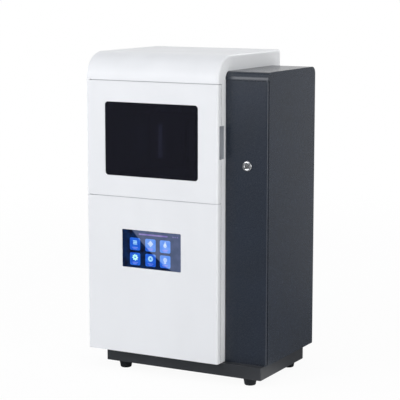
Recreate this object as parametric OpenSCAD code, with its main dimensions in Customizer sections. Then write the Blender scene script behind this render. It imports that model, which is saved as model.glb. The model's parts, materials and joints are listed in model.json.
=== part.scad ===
// Desktop resin printer: a white body with a hinged front door and a touch screen, and a dark
// control cabinet with its own locked door beside it.
// Millimetres. X runs from left to right seen from the front, -Y is the front, +Z is up.
// The origin is the middle of the footprint, on the surface that the printer stands on.

/* [White body] */
// Width of the white body
body_w = 342; // [330:1:380]
// Depth of the white body, with its front panels
body_d = 316; // [308:1:360]
// Height of the lower front panel, from the plinth to the seam under the door
lower_h = 365; // [345:1:400]
// Height of the door, from seam to seam
door_h = 266; // [256:1:300]
// Height of the head over the door
head_h = 62; // [62:1:80]
// Radius of the brow, from the front of the head to its top
brow_r = 60; // [40:1:60]
// Wall of the outer shell
shell_t = 3; // [2:0.5:4]
// Thickness of the door and of the lower front panel
panel_t = 16; // [15:0.5:18]
// Moulded skin of the two front panels
skin_t = 2.5; // [2:0.25:3]
// Radius of the upright front edges
edge_r = 5; // [4.5:0.5:6]
// Open seam between the door, the head and the lower front panel
seam = 1.5; // [1.2:0.1:2]
// Gap between the front panels and the front frame
panel_gap = 1; // [0.9:0.1:1.5]

/* [Window and screen] */
// Width of the door window
window_w = 242; // [200:1:250]
// Height of the door window
window_h = 169; // [140:1:172]
// Corner radius of the door window
window_r = 8; // [5:0.5:12]
// Width of the screen's cover glass
screen_w = 154; // [140:1:170]
// Height of the screen's cover glass
screen_h = 88; // [80:1:100]
// Middle of the screen above the plinth
screen_rise = 246.5; // [200:0.5:260]

/* [Door hardware] */
// Diameter of the door's hinge pins
pin_d = 6; // [5:0.5:6]
// Height of the finger pull
pull_h = 75; // [60:1:90]
// Depth of the finger pull into the side of the body
pull_depth = 13; // [10:0.5:13]
// Width of the finger pull behind the front frame's face
pull_w = 13; // [11:0.5:15]
// Diameter of the door's magnets
magnet_d = 12; // [8:0.5:14]

/* [Control cabinet] */
// Width of the cabinet
cab_w = 104; // [100:1:120]
// Depth of the cabinet
cab_d = 252; // [245:1:270]
// Height of the cabinet above the plinth
cab_h = 658; // [640:1:680]
// Distance of the cabinet's front behind the door's front
cab_setback = 36; // [32:1:45]
// Radius of the cabinet's upper edges
cab_r = 17; // [12:0.5:20]
// Sheet of the cabinet
cab_t = 2; // [1.5:0.25:2.5]
// Thickness of the cabinet door
cab_door_t = 7; // [7:0.5:9]
// Diameter of the cabinet's hinge pins
cab_pin_d = 4; // [3:0.5:4]
// Lock above the plinth
lock_rise = 450; // [420:1:470]
// Diameter of the lock's flange
lock_d = 22; // [22:0.5:26]
// Length of the lock's cam from the lock's axis
cam_l = 47; // [46:0.5:49]

/* [Plinth and feet] */
// Width of the plinth
plinth_w = 403; // [380:1:407]
// Depth of the plinth
plinth_d = 229; // [210:1:250]
// Height of the plinth
plinth_h = 29; // [24:1:34]
// Inset of the plinth from the left side of the body
plinth_inset = 39; // [35:1:42]
// Sheet of the plinth and of the floor pan
plinth_t = 3; // [2:0.5:4]
// Height of the rubber feet
foot_h = 18; // [15:0.5:22]
// Diameter of a foot at the plinth
foot_top_d = 32; // [30:1:36]
// Diameter of a foot at the ground
foot_low_d = 26; // [24:1:29]
// Front feet from the plinth's ends
foot_end = 38; // [30:1:45]
// Rear feet from the plinth's ends
foot_end_rear = 27.5; // [24:0.5:45]
// Feet from the plinth's front and back
foot_side = 24; // [20:1:30]

/* [Print chamber] */
// Deck surface above the seam under the door
deck_rise = 18; // [16:0.5:22]
// Thickness of the deck plate
deck_t = 6; // [5:0.5:8]
// Sheet of the chamber liner and of the frames
liner_t = 1.5; // [1:0.25:2]
// Free space between the outer shell and the chamber liner
side_space = 12; // [12:0.5:15]
// Ceiling of the chamber above the door's upper seam
ceiling_rise = 22; // [20:1:30]

/* [Resin vat] */
// Width of the vat
vat_w = 206; // [196:1:214]
// Depth of the vat
vat_d = 136; // [130:1:140]
// Height of the vat
vat_h = 32; // [28:1:36]
// Wall of the vat
vat_wall = 13; // [11:0.5:13]
// Height of the film above the deck
film_rise = 4; // [3.5:0.25:5]
// Thickness of the film
film_t = 0.4; // [0.3:0.05:0.5]
// Vat behind the front frame
vat_setback = 27; // [24:1:30]

/* [Build platform] */
// Width of the build platform
platform_w = 150; // [130:1:160]
// Depth of the build platform
platform_d = 90; // [80:1:94]
// Thickness of the build platform
platform_t = 10; // [8:0.5:12]
// Diameter of the clamp knobs' screws
clamp_d = 8; // [6:0.5:8]

/* [Z axis] */
// Width of the column
column_w = 90; // [84:1:96]
// Depth of the column
column_d = 40; // [36:1:44]
// Space between the column's face and the carriage plate
drive_space = 18; // [18:0.5:20]
// Distance between the rails
rail_span = 56; // [54:1:60]
// Width of a rail
rail_w = 9; // [8:0.5:10]
// Depth of a rail
rail_d = 8; // [7:0.5:9]
// Height of the carriage plate
carriage_h = 90; // [84:1:96]
// Thickness of the carriage plate
carriage_t = 12; // [10:0.5:14]
// Diameter of the lead screw
screw_d = 8; // [6:0.5:8]
// Side of the square motor
motor_w = 42; // [38:1:43]

/* [Light engine] */
// Width of the projector housing
engine_w = 150; // [130:1:156]
// Depth of the projector housing
engine_d = 150; // [140:1:156]
// Height of the projector housing
engine_h = 90; // [80:1:100]
// Shelf of the light engine below the deck plate
engine_drop = 228; // [220:1:236]
// Diameter of the lens barrel
lens_d = 52; // [46:1:56]
// Length of the lens above the housing
lens_l = 60; // [56:1:70]

/* [Rear and electronics] */
// Side of the exhaust fan
fan_w = 80; // [70:1:82]
// Thickness of the exhaust fan
fan_t = 25; // [20:1:26]
// Thickness of the filter in front of the fan
filter_t = 20.5; // [16:0.5:21]
// Exhaust fan right of the middle of the body
fan_right = 92; // [88:1:98]
// Exhaust fan below the seam over the door
fan_below = 58; // [52:1:64]
// Width of the power supply
supply_w = 50; // [40:1:50]
// Height of the power supply
supply_h = 215; // [180:1:220]
// Diameter of the rear panel's screws
screw_m = 3; // [2.5:0.5:4]

/* [Hidden] */

$fn = 48;
frame_t = 2;     // sheet of the front frame and of the side frames
over = 1;        // how far a cut runs past the face that it opens
run = 0.05;      // radial clearance of a running fit
fit = 0.3;       // clearance of a loose fit

// Heights of the whole printer
z_body = foot_h + plinth_h;
z_seam_low = z_body + lower_h;
z_seam_top = z_seam_low + door_h;
z_top = z_seam_top + head_h;
z_head = z_seam_top + seam / 2;
z_cab_top = z_body + cab_h;

// Sides of the white body and of the cabinet
x0 = -(body_w + cab_w) / 2;
x1 = x0 + body_w;
x2 = x1 + cab_w;
xm = (x0 + x1) / 2;
y_front = -body_d / 2;
y_rear = body_d / 2;
y_panel = y_front + panel_t;              // back of the door and of the lower front panel
y_face = y_panel + panel_gap;             // front of the front frame
y_inside = y_face + frame_t;              // back of the front frame
xi0 = x0 + shell_t;                       // inside of the outer shell
xi1 = x1 - shell_t;

// Sheet parts of the body
flange_w = 10;                            // screw flange inside the shell's rear edge
panel_sheet = 2;                          // rear panel
guard_t = 2;                              // fan guard, flush with the shell's rear edge
y_sheet1 = y_rear - guard_t;              // outside of the rear panel
y_sheet0 = y_sheet1 - panel_sheet;        // inside of the rear panel

// Openings of the front frame
frame_margin = 26;
hatch0 = [x0 + frame_margin, z_seam_low + frame_margin];
hatch1 = [x1 - frame_margin, z_seam_top - 20];
service0 = [x0 + frame_margin, z_body + 30];
service1 = [x1 - frame_margin, z_seam_low - 20];
weld_gap = 0.3;                           // between the bars of the frame

// Finger pull, level with the middle of the door
pull_z = (z_seam_low + z_seam_top) / 2 + 3;
pull0 = pull_z - pull_h / 2;
pull1 = pull_z + pull_h / 2;
pull_wall = 1.5;

// Door hinge: the pin stands in the middle of the panel's thickness
pin_r = pin_d / 2;
pin_x = x0 + panel_t / 2;
pin_y = y_front + panel_t / 2;
pin_reach = 14;                           // how far a pin enters the door
pin_root = 15;                            // how far a pin is held by what carries it
door_z0 = z_seam_low + seam / 2;
door_z1 = z_seam_top - seam / 2;
lower_z1 = z_seam_low - seam / 2;
hinge_strip = panel_t + 2;                // solid strip of the door beside the pins
rim_t = 3;                                // rim round a moulded panel
rib_t = 2;                                // ribs behind a moulded panel
liner_sheet = 2;                          // door liner

// Door window and its gasket
window_z = (z_seam_low + z_seam_top) / 2;
window_step = 1;                          // pane behind the door's face
window_t = 3;
glue_w = 6;                               // edge of the pane behind the skin
gasket_w = 7;
window_size = [window_w, window_h];
pane_size = window_size + 2 * [glue_w, glue_w];
liner_x0 = x0 + panel_t / 2 + 1;          // hinge side of the door liner

// Screen
screen_z = z_body + screen_rise;
glass_step = 0.8;
glass_t = 2;
display_t = 7;
screen_size = [screen_w, screen_h];
cover_size = screen_size + 2 * [glue_w, glue_w];

// Chamber
z_deck = z_seam_low + deck_rise;
z_under = z_deck - deck_t;
z_ceiling = z_seam_top + ceiling_rise;
xl0 = xi0 + side_space;                   // outside of the chamber liner
xl1 = xi1 - side_space;

// Vat, from the front to the back
vat_y = y_inside + vat_setback + vat_d / 2;
cavity = [vat_w - 2 * vat_wall, vat_d - 2 * vat_wall];
film_size = [vat_w - 12, vat_d - 12];
film_hole = cavity - [8, 8];
glass_size = film_hole - [8, 8];
z_film = z_deck + film_rise;
ear_w = 30;
ear_l = 18;
ear_t = 8;
vat_screw_d = 6;
vat_knob_x = vat_w / 2 + ear_l / 2 + 2;

// Z axis, from the vat to the back
y_plate = vat_y + vat_d / 2 + 12;         // front of the carriage plate
y_gap = y_plate + carriage_t;             // back of the carriage plate
y_column = y_gap + drive_space;           // face of the column
y_screw = y_gap + drive_space / 2;
y_liner = y_column + column_d + 1;        // inside of the liner's rear wall
screw_r = screw_d / 2;
z_car1 = z_ceiling - 8;
z_car0 = z_car1 - carriage_h;
z_platform = z_car0 - platform_t;         // underside of the parked build platform
block_w = 20;
block_h = 28;
nut_r = 6;
nut_h = 16;
z_nut = z_car0 + carriage_h / 2 - nut_h / 2;
bearing_h = 10;
bearing_w = rail_span - block_w - 4;
z_coupler = z_deck + 4;
coupler_h = 25;
coupler_r = 8;
z_bearing_low = z_coupler + coupler_h + 3;
z_bearing_top = z_ceiling - 18;
shaft_r = 2.5;
motor_h = 40;
motor_hole = motor_w / 2 - 5.5;           // screw holes from the motor's axis

// Platform arm
arm_z0 = z_car0 + 20;
arm_t = 16;
arm_z1 = arm_z0 + arm_t;
arm_w = 44;
clamp_r = clamp_d / 2;
knob_r = 16;
knob_h = 18;

// Light engine
z_engine = z_under - engine_drop;
mount_t = 6;
post_r = 6;
post_x = engine_w / 2 + 9;
post_y = 58;
shelf_edge = 12;                          // shelf past its posts
engine_shift = 26;                        // housing behind the lens
y_engine0 = vat_y - engine_d / 2 + engine_shift;
ring_rise = 18;                           // focus ring above the housing
lens_r = lens_d / 2;
z_lens = z_engine + engine_h;

// Control cabinet
yc0 = y_front + cab_setback;
yc1 = yc0 + cab_d;
cab_gap = 0.6;                            // gap round the cabinet door
y_cab_face = yc0 + cab_door_t + cab_gap;  // flange that the cabinet door closes on
z_cab_lip = z_cab_top - cab_r - 2;        // lower edge of the cabinet's brow
cab_door_z0 = z_body + cab_t + cab_gap;
cab_door_z1 = z_cab_lip - cab_gap;
cab_bead = cab_door_t / 2;                // round edge of the cabinet door, about its pins
cab_pin_x = x2 - cab_bead;
cab_pin_y = yc0 + cab_bead;
cab_pin_r = cab_pin_d / 2;
cab_shank_r = 1.4;                        // riveted end of the upper pin
cab_flange = 10;
cab_skin = 2;
lock_x = (x1 + x2) / 2 + 3;
lock_z = z_body + lock_rise;
lock_r = lock_d / 2;
barrel_r = lock_r - 2;
plug_r = 6;
nut_room = lock_r + 3;                    // room for the lock's nut behind the door's skin
flange_proud = 2.2;
cam_t = 2;
cam_w = 12;
y_cam = y_cab_face + cab_t + cab_gap;     // the cam turns behind the flange

// Electronics, on a plate along the cabinet's inner wall
plate_gap = 6;
plate_sheet = 2;
x_plate = x1 + cab_t + plate_gap;
y_plate0 = yc0 + 34;
y_plate1 = yc1 - 20;
z_supply = z_body + 135;
z_board = z_supply + supply_h + 45;
board_h = 150;

// Rear of the cabinet
inlet_z = z_body + 45;
switch_z = inlet_z + 42;
port_z = switch_z + 50;
rear_x = (x1 + x2) / 2;

// Exhaust
fan_x = xm + fan_right;
fan_z = z_seam_top - fan_below;
fan_r = fan_w / 2 - 3.2;
hub_r = 16;
y_fan0 = y_sheet0 - fan_t;
y_filter0 = y_fan0 - filter_t;
grille_pitch = 9;
grille_l = 60;

// ---------------------------------------------------------------- shared shapes

// A box from corner a to corner b
module box(a, b) translate(a) cube(b - a);

// The waste outside a rounded corner at p; the inside lies towards dir
module corner(p, dir, r)
    if (r > 0)
        difference() {
            translate([for (i = [0, 1]) min(p[i] - dir[i] * over, p[i] + dir[i] * r)])
                square(r + over);
            translate(p + dir * r) circle(r);
        }

// A rectangle from a to b; r is one radius, or those of the corners, anticlockwise from a
module rrect(a, b, r) {
    radii = is_list(r) ? r : [r, r, r, r];
    difference() {
        translate(a) square(b - a);
        corner(a, [1, 1], radii[0]);
        corner([b.x, a.y], [-1, 1], radii[1]);
        corner(b, [-1, -1], radii[2]);
        corner([a.x, b.y], [1, -1], radii[3]);
    }
}

// The same about its middle
module crect(c, size, r) rrect(c - size / 2, c + size / 2, r);

// A slot with round ends, long in the first direction
module slot(c, length, width) {
    for (s = [-1, 1])
        translate(c + [s * (length - width) / 2, 0]) circle(width / 2);
    translate(c - [(length - width) / 2, width / 2]) square([length - width, width]);
}

// A flat shape drawn in (y, z), pulled along X; in (x, z), along Y; in (x, y), along Z
module along_x(from, to) translate([from, 0, 0]) rotate([90, 0, 90]) linear_extrude(to - from) children();
module along_y(from, to) translate([0, to, 0]) rotate([90, 0, 0]) linear_extrude(to - from) children();
module along_z(from, to) translate([0, 0, from]) linear_extrude(to - from) children();

// Round bars that start at p
module bar_x(p, length, r) translate(p) rotate([0, 90, 0]) cylinder(h = length, r = r);
module bar_y(p, length, r) translate(p) rotate([-90, 0, 0]) cylinder(h = length, r = r);
module bar_z(p, length, r) translate(p) cylinder(h = length, r = r);

// A hand knob on the Z axis: a scalloped head with a dished top, on a screw that points down
module knob(p, r, h, stem_r, stem_l) {
    scallops = 8;
    difference() {
        bar_z(p, h, r);
        for (i = [0:scallops - 1])
            translate(p) rotate(i * 360 / scallops)
                translate([r * 1.12, 0, -over]) cylinder(h = h + 2 * over, r = r * 0.26);
        translate(p + [0, 0, h - 2]) cylinder(h = 2 + over, r = r * 0.55);
    }
    bar_z(p - [0, 0, stem_l], stem_l + over, stem_r);
}

// Places on the rear panel's edge where its screws go
rear_rows = 4;
rear_inset = shell_t + flange_w / 2;
rear_screws = concat(
    [for (x = [x0 + rear_inset, x1 - rear_inset], i = [0:rear_rows - 1])
        [x, z_body + 30 + i * (z_top - z_body - 60) / (rear_rows - 1)]],
    [[xm - body_w / 5, z_top - rear_inset], [xm + body_w / 5, z_top - rear_inset]]);
foot_places = [for (right = [0, 1], rear = [0, 1])
    let (end = rear == 1 ? foot_end_rear : foot_end)
        [x0 + plinth_inset + (right == 1 ? plinth_w - end : end),
            y_face + (rear == 1 ? plinth_d - foot_side : foot_side)]];
foot_screw_r = 2.5;
foot_grip = 12;                           // how far a foot's screw enters the plinth

// ---------------------------------------------------------------- plinth and frame

// Folded tray, open below, with a boss over each foot and two stiffening ribs
module base_plinth() color("#3a3b40") {
    p0 = [x0 + plinth_inset, y_face];
    p1 = p0 + [plinth_w, plinth_d];
    wall = [plinth_t, plinth_t];
    difference() {
        along_z(foot_h, z_body) rrect(p0, p1, 3);
        difference() {
            along_z(foot_h - over, z_body - plinth_t) rrect(p0 + wall, p1 - wall, 1);
            for (q = foot_places) bar_z([q.x, q.y, foot_h], plinth_h, foot_top_d / 2);
            for (s = [1, 2])
                translate([p0.x + s * plinth_w / 3, p0.y, foot_h + 8]) cube([plinth_t, plinth_d, plinth_h]);
        }
        for (q = foot_places) bar_z([q.x, q.y, foot_h - over], foot_grip + 2, foot_screw_r);
    }
}

module rubber_feet() color("#15171b")
    for (q = foot_places)
        translate([q.x, q.y, 0]) difference() {
            rotate_extrude() polygon([[0, 0], [foot_low_d / 2 - 1.5, 0], [foot_low_d / 2, 1.5],
                [foot_top_d / 2 - 1, foot_h - 5], [foot_top_d / 2, foot_h - 4], [foot_top_d / 2, foot_h],
                [0, foot_h]]);
            translate([0, 0, -over]) cylinder(h = foot_h / 2 + over, r = 6);
            cylinder(h = foot_h + over, r = foot_screw_r);
        }

// Floor of the white body, with turned-up edges and air slots
module floor_pan() color("#9fa3a8") difference() {
    union() {
        box([xi0, y_inside, z_body], [xi1, y_sheet0 - 3, z_body + plinth_t]);
        box([xi0, y_sheet0 - 3 - frame_t, z_body], [xi1, y_sheet0 - 3, z_body + 16]);
    }
    for (x = [xm - 70:35:xm + 70]) along_z(z_body - over, z_body + plinth_t + over)
        translate([x, y_rear - 45]) rotate(90) slot([0, 0], 50, 6);
}

// Two side frames that carry the deck on their upper flanges, with windows between their webs
window_web = 22;
module chassis_frame() color("#8d9197")
    for (side = [0, 1]) {
        xs = side == 0 ? xi0 : xi1 - frame_t;
        y0 = y_inside + 1;
        y1 = y_sheet0 - 4 - frame_t;
        z0 = z_body + plinth_t;
        difference() {
            box([xs, y0, z0], [xs + frame_t, y1, z_under]);
            for (i = [0:3], j = [0, 1])
                along_x(xs - over, xs + frame_t + over)
                    crect([y0 + (y1 - y0) * (i + 0.5) / 4, z0 + (z_under - z0) * (j + 0.5) / 2],
                        [(y1 - y0) / 4, (z_under - z0) / 2] - [window_web, window_web], 12);
        }
        xf = side == 0 ? xi0 + frame_t : xi1 - frame_t - flange_w;
        box([xf, y0, z_under - frame_t], [xf + flange_w, y1, z_under]);
        box([xf, y0, z0], [xf + flange_w, y1, z0 + frame_t]);
        box([xf, y0, z0 + frame_t], [xf + flange_w, y0 + frame_t, z_under - frame_t]);
    }

// Side view of the head, as (y, z): it comes forward over the door with a round brow
module head_outline(inset, floor_t)
    rrect([y_front + inset, z_head + floor_t], [y_rear, z_top - inset], [0, 0, 0, brow_r - inset]);

// Head with its side edges rounded all along the outline
module head_block() {
    along_x(x0, x1) head_outline(edge_r, 0);
    along_x(x0 + edge_r, x1 - edge_r) head_outline(0, 0);
    for (x = [x0 + edge_r, x1 - edge_r]) {
        bar_z([x, y_front + edge_r, z_head], z_top - brow_r - z_head, edge_r);
        translate([x, y_front + brow_r, z_top - brow_r]) rotate([0, -90, 0]) rotate([0, 0, -90])
            rotate_extrude(angle = 90) translate([brow_r - edge_r, 0]) circle(edge_r);
        bar_y([x, y_front + brow_r, z_top - edge_r], y_rear - y_front - brow_r, edge_r);
    }
}

module outer_shell() color("#eceef2") difference() {
    union() {
        head_block();
        box([x0, y_face, z_body], [x1, y_rear, z_head + over]);
    }
    // hollow inside, open below, in front below the head, and behind inside the screw flange
    along_x(xi0, xi1) intersection() {
        head_outline(shell_t, shell_t);
        translate([y_front, z_head]) square([y_sheet0 - 3 - y_front, z_top - z_head]);
    }
    box([xi0, y_face - over, z_body - over], [xi1, y_sheet0 - 3, z_head]);
    box([xi0, y_face, z_head - over], [xi1, y_sheet0 - 3, z_head + shell_t + over]);
    box([xi0, y_sheet0, z_body - over], [xi1, y_rear + over, z_top - shell_t]);
    box([xi0 + flange_w, y_sheet0 - 4, z_body - over], [xi1 - flange_w, y_rear, z_top - shell_t - flange_w]);
    // softened upright edges behind the front panels
    along_z(z_body - over, z_head) {
        corner([x0, y_face], [1, 1], 1.5);
        corner([x1, y_face], [-1, 1], 1.5);
    }
    // opening of the finger pull, hole of the upper hinge pin, holes of the panel screws
    box([xi1 - over, y_face - over, pull0], [x1 + over, y_face + pull_w, pull1]);
    bar_z([pin_x, pin_y, z_head - over], shell_t + 2 * over, pin_r);
    for (q = rear_screws) bar_y([q.x, y_sheet0 - 4, q.y], 5, screw_m / 2);
}

// Rear panel with the exhaust opening and rows of air slots
vent_l = 70;
vent_pitch = 90;
vent_rise = 90;
module rear_panel() color("#dfe1e5") difference() {
    along_y(y_sheet0, y_sheet1) difference() {
        translate([xi0, z_body + plinth_t]) square([xi1 - xi0, z_top - shell_t - z_body - plinth_t]);
        translate([fan_x, fan_z]) circle(fan_r, $fn = 96);
        for (s = [-1, 0, 1], i = [0:9])
            slot([xm + s * vent_pitch, z_body + vent_rise + i * 14], vent_l, 5);
    }
    for (q = rear_screws) bar_y([q.x, y_sheet0 - over, q.y], panel_sheet + 2 * over, screw_m / 2);
}

// Steel front frame of flat bars, welded up on the shell and the floor pan: two stiles, the right
// one in three lengths round the finger pull, and three rails round the chamber's and the service
// opening. The gap that a weld fills is left between their ends.
module front_frame() color("#c9ccd1") {
    frame_top = z_head + shell_t;
    box([xi0, y_face, z_body], [hatch0.x, y_inside, frame_top]);
    box([hatch1.x, y_face, z_body], [xi1, y_inside, pull0 - weld_gap]);
    box([hatch1.x, y_face, pull0], [x1 - pull_depth, y_inside, pull1]);
    box([hatch1.x, y_face, pull1 + weld_gap], [xi1, y_inside, frame_top]);
    for (rail = [[z_body, service0.y], [service1.y, hatch0.y], [hatch1.y, frame_top]])
        box([hatch0.x + weld_gap, y_face, rail[0]], [hatch1.x - weld_gap, y_inside, rail[1]]);
}

module finger_pull() color("#7c8088") difference() {
    box([x1 - pull_depth, y_face, pull0], [x1, y_face + pull_w, pull1]);
    box([x1 - pull_depth + pull_wall, y_face - over, pull0 + pull_wall],
        [x1 + over, y_face + pull_w - pull_wall, pull1 - pull_wall]);
}

// ---------------------------------------------------------------- print chamber

module chamber_liner() color("#c3c6ca") difference() {
    box([xl0, y_inside, z_deck], [xl1, y_liner + liner_t, z_ceiling + liner_t]);
    box([xl0 + liner_t, y_inside - over, z_deck - over], [xl1 - liner_t, y_liner, z_ceiling]);
    along_y(y_liner - over, y_liner + liner_t + over)
        for (i = [-3:3]) slot([fan_x, fan_z + i * grille_pitch], grille_l, 4);
    // the filter and the fan pass through the rear wall where they are deeper than the space behind it
    along_y(y_filter0, y_sheet0) crect([fan_x, fan_z], [fan_w, fan_w] + 2 * [fit, fit], 4);
}

// Upright lamp on the rear wall, left of the column
lamp_w = 5;
lamp_h = 74;
lamp_t = 10;
lamp_x = xl0 + 30;
lamp_z = z_seam_low + 62;
module chamber_lamp() color("#f4f4ee") {
    along_y(y_liner - 3, y_liner) crect([lamp_x, lamp_z + lamp_h / 2], [lamp_w + 6, lamp_h + 12], 2);
    along_z(lamp_z, lamp_z + lamp_h)
        rrect([lamp_x - lamp_w / 2, y_liner - lamp_t], [lamp_x + lamp_w / 2, y_liner - 2],
            [lamp_w, lamp_w, 0, 0] * 0.4);
}

module deck_plate() color("#a9adb2") difference() {
    box([xi0, y_inside, z_under], [xi1, y_liner + 6, z_deck]);
    box([xm - glass_size.x / 2, vat_y - glass_size.y / 2, z_under + 2],
        [xm + glass_size.x / 2, vat_y + glass_size.y / 2, z_deck + over]);
    box([xm - glass_size.x / 2 + 6, vat_y - glass_size.y / 2 + 6, z_under - over],
        [xm + glass_size.x / 2 - 6, vat_y + glass_size.y / 2 - 6, z_deck]);
    bar_z([xm, y_screw, z_under - over], deck_t + 2 * over, 11);
    for (s = [-1, 1])
        bar_z([xm + s * vat_knob_x, vat_y, z_under - over], deck_t + 2 * over, vat_screw_d / 2 + run);
}

module deck_glass() color("#bcd4dc") {
    g = glass_size / 2;
    box([xm - g.x, vat_y - g.y, z_under + 2], [xm + g.x, vat_y + g.y, z_film - film_t - 0.1]);
}

// Vat machined from one block: ears for the clamp knobs, a spout in one corner, a seat for the film
module vat_tray() color("#5b6068") difference() {
    union() {
        along_z(z_deck, z_deck + vat_h) crect([xm, vat_y], [vat_w, vat_d], 10);
        along_z(z_deck, z_deck + ear_t) crect([xm, vat_y], [vat_w + 2 * ear_l, ear_w], 6);
        along_x(xm - 35, xm + 35) polygon([[vat_y - vat_d / 2 - 9, z_deck + vat_h - 4],
            [vat_y - vat_d / 2 - 9, z_deck + vat_h], [vat_y - vat_d / 2 + 2, z_deck + vat_h],
            [vat_y - vat_d / 2 + 2, z_deck + vat_h - 14]]);
    }
    along_z(z_film, z_deck + vat_h + over) crect([xm, vat_y], cavity, 14);
    along_z(z_deck - over, z_film) crect([xm, vat_y], film_size, 6);
    translate([xm + cavity.x / 2 - 8, vat_y - cavity.y / 2 + 8, z_deck + vat_h]) rotate([0, 90, -45])
        cylinder(h = 40, r = 6);
    for (s = [-1, 1]) {
        bar_z([xm + s * vat_knob_x, vat_y, z_deck - over], ear_t + 2 * over, vat_screw_d / 2 + fit);
        translate([xm + s * (vat_knob_x + 10), vat_y, z_deck + ear_t / 2])
            cube([20, vat_screw_d + 2 * fit, ear_t + 2 * over], center = true);
    }
}

module vat_film() color("#d9e4e8")
    along_z(z_film - film_t, z_film) crect([xm, vat_y], film_size - [1, 1], 5);

module vat_film_frame() color("#2b2d31") along_z(z_deck, z_film - film_t) difference() {
    crect([xm, vat_y], film_size - [1, 1], 5);
    crect([xm, vat_y], film_hole, 10);
}

module vat_knob(side)
    knob([xm + side * vat_knob_x, vat_y, z_deck + ear_t + 0.1], 11, 13, vat_screw_d / 2, ear_t + deck_t - 1);
module vat_knob_left() color("#1d1f23") vat_knob(-1);
module vat_knob_right() color("#1d1f23") vat_knob(1);

// ---------------------------------------------------------------- Z axis

// Extruded column: face, two flanges with lips, and a foot screwed to the deck
module z_column() color("#b4b8bd") difference() {
    union() {
        along_z(z_deck + 8, z_ceiling - 6) difference() {
            rrect([xm - column_w / 2, y_column], [xm + column_w / 2, y_column + column_d], 1.5);
            rrect([xm - column_w / 2 + 6, y_column + 8], [xm + column_w / 2 - 6, y_column + column_d - 5], 4);
            translate([xm - column_w / 2 + 18, y_column + column_d - 6]) square([column_w - 36, 6 + over]);
        }
        along_z(z_deck, z_deck + 8)
            rrect([xm - column_w / 2 - 10, y_column - 4], [xm + column_w / 2 + 10, y_column + column_d], 5);
    }
    bar_z([xm, y_screw, z_deck - over], 10, coupler_r + 3);
    for (s = [-1, 1], y = [y_column + 7, y_column + column_d - 9])
        bar_z([xm + s * (column_w / 2 + 5), y, z_deck - over], 8 + 2 * over, 2.2);
}

rail_pitch = 40;
rail_z0 = z_deck + 12;
rail_z1 = z_ceiling - 10;
module z_rails() color("#d4d7da")
    for (s = [-1, 1]) translate([xm + s * rail_span / 2, 0, 0]) difference() {
        along_z(rail_z0, rail_z1) polygon([[-rail_w / 2, y_column], [-rail_w / 2, y_column - rail_d * 0.3],
            [-rail_w / 2 + 1.2, y_column - rail_d * 0.45], [-rail_w / 2 + 1.2, y_column - rail_d * 0.6],
            [-rail_w / 2, y_column - rail_d * 0.75], [-rail_w / 2, y_column - rail_d],
            [rail_w / 2, y_column - rail_d], [rail_w / 2, y_column - rail_d * 0.75],
            [rail_w / 2 - 1.2, y_column - rail_d * 0.6], [rail_w / 2 - 1.2, y_column - rail_d * 0.45],
            [rail_w / 2, y_column - rail_d * 0.3], [rail_w / 2, y_column]]);
        for (z = [rail_z0 + 15:rail_pitch:rail_z1 - 10])
            bar_y([0, y_column - rail_d - over, z], 4 + over, 2.6);
    }

// Carriage: machined plate, four rail blocks and the nut's bracket
module z_carriage() color("#9ea3a9") difference() {
    union() {
        along_y(y_plate, y_gap) crect([xm, (z_car0 + z_car1) / 2], [rail_span + 28, carriage_h], 6);
        for (s = [-1, 1], z = [z_car0 + 4, z_car1 - 4 - block_h])
            box([xm + s * rail_span / 2 - block_w / 2, y_gap, z],
                [xm + s * rail_span / 2 + block_w / 2, y_column - 2, z + block_h]);
        box([xm - nut_r - 5, y_gap, z_nut], [xm + nut_r + 5, y_column - 1, z_nut + nut_h]);
    }
    for (s = [-1, 1])
        box([xm + s * rail_span / 2 - rail_w / 2 - fit, y_column - rail_d - fit, z_car0 - over],
            [xm + s * rail_span / 2 + rail_w / 2 + fit, y_column, z_car1 + over]);
    bar_z([xm, y_screw, z_nut - over], nut_h + 2 * over, nut_r);
    for (s = [-1, 1], z = [z_car0 + 12, z_car1 - 12])
        bar_y([xm + s * (rail_span / 2), y_plate - over, z], 4 + over, 3);
}

module lead_nut() color("#c59a45") difference() {
    union() {
        bar_z([xm, y_screw, z_nut], nut_h + 2, nut_r);
        bar_z([xm, y_screw, z_nut - 3], 3, drive_space / 2 - 0.6);
    }
    bar_z([xm, y_screw, z_nut - 3 - over], nut_h + 5 + 2 * over, screw_r + run);
}

z_screw0 = z_coupler + coupler_h / 2;
module lead_screw() color("#cfd2d6") {
    bar_z([xm, y_screw, z_screw0], z_bearing_top + bearing_h + 1 - z_screw0, screw_r);
    bar_z([xm, y_screw, z_under - 10], z_screw0 - z_under + 10, shaft_r);
}

// Clamp coupler: bored for both shafts, relieved by flexure slits
module shaft_coupler() color("#8f959c") difference() {
    bar_z([xm, y_screw, z_coupler], coupler_h, coupler_r);
    bar_z([xm, y_screw, z_coupler - over], coupler_h + 2 * over, shaft_r);
    bar_z([xm, y_screw, z_screw0], coupler_h, screw_r);
    for (i = [0:2])
        translate([xm, y_screw + (i % 2 == 0 ? 1 : -1) * coupler_r, z_coupler + 8 + i * 4.5])
            cube([3 * coupler_r, coupler_r, 1], center = true);
}

module screw_bearings() color("#6d727a")
    for (z = [z_bearing_low, z_bearing_top]) difference() {
        along_z(z, z + bearing_h)
            rrect([xm - bearing_w / 2, y_gap + 0.6], [xm + bearing_w / 2, y_column], [4, 4, 0, 0]);
        bar_z([xm, y_screw, z - over], bearing_h + 2 * over, screw_r + run);
        bar_z([xm, y_screw, z + bearing_h - 1.5], 2, screw_r + 2.5);
    }

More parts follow.
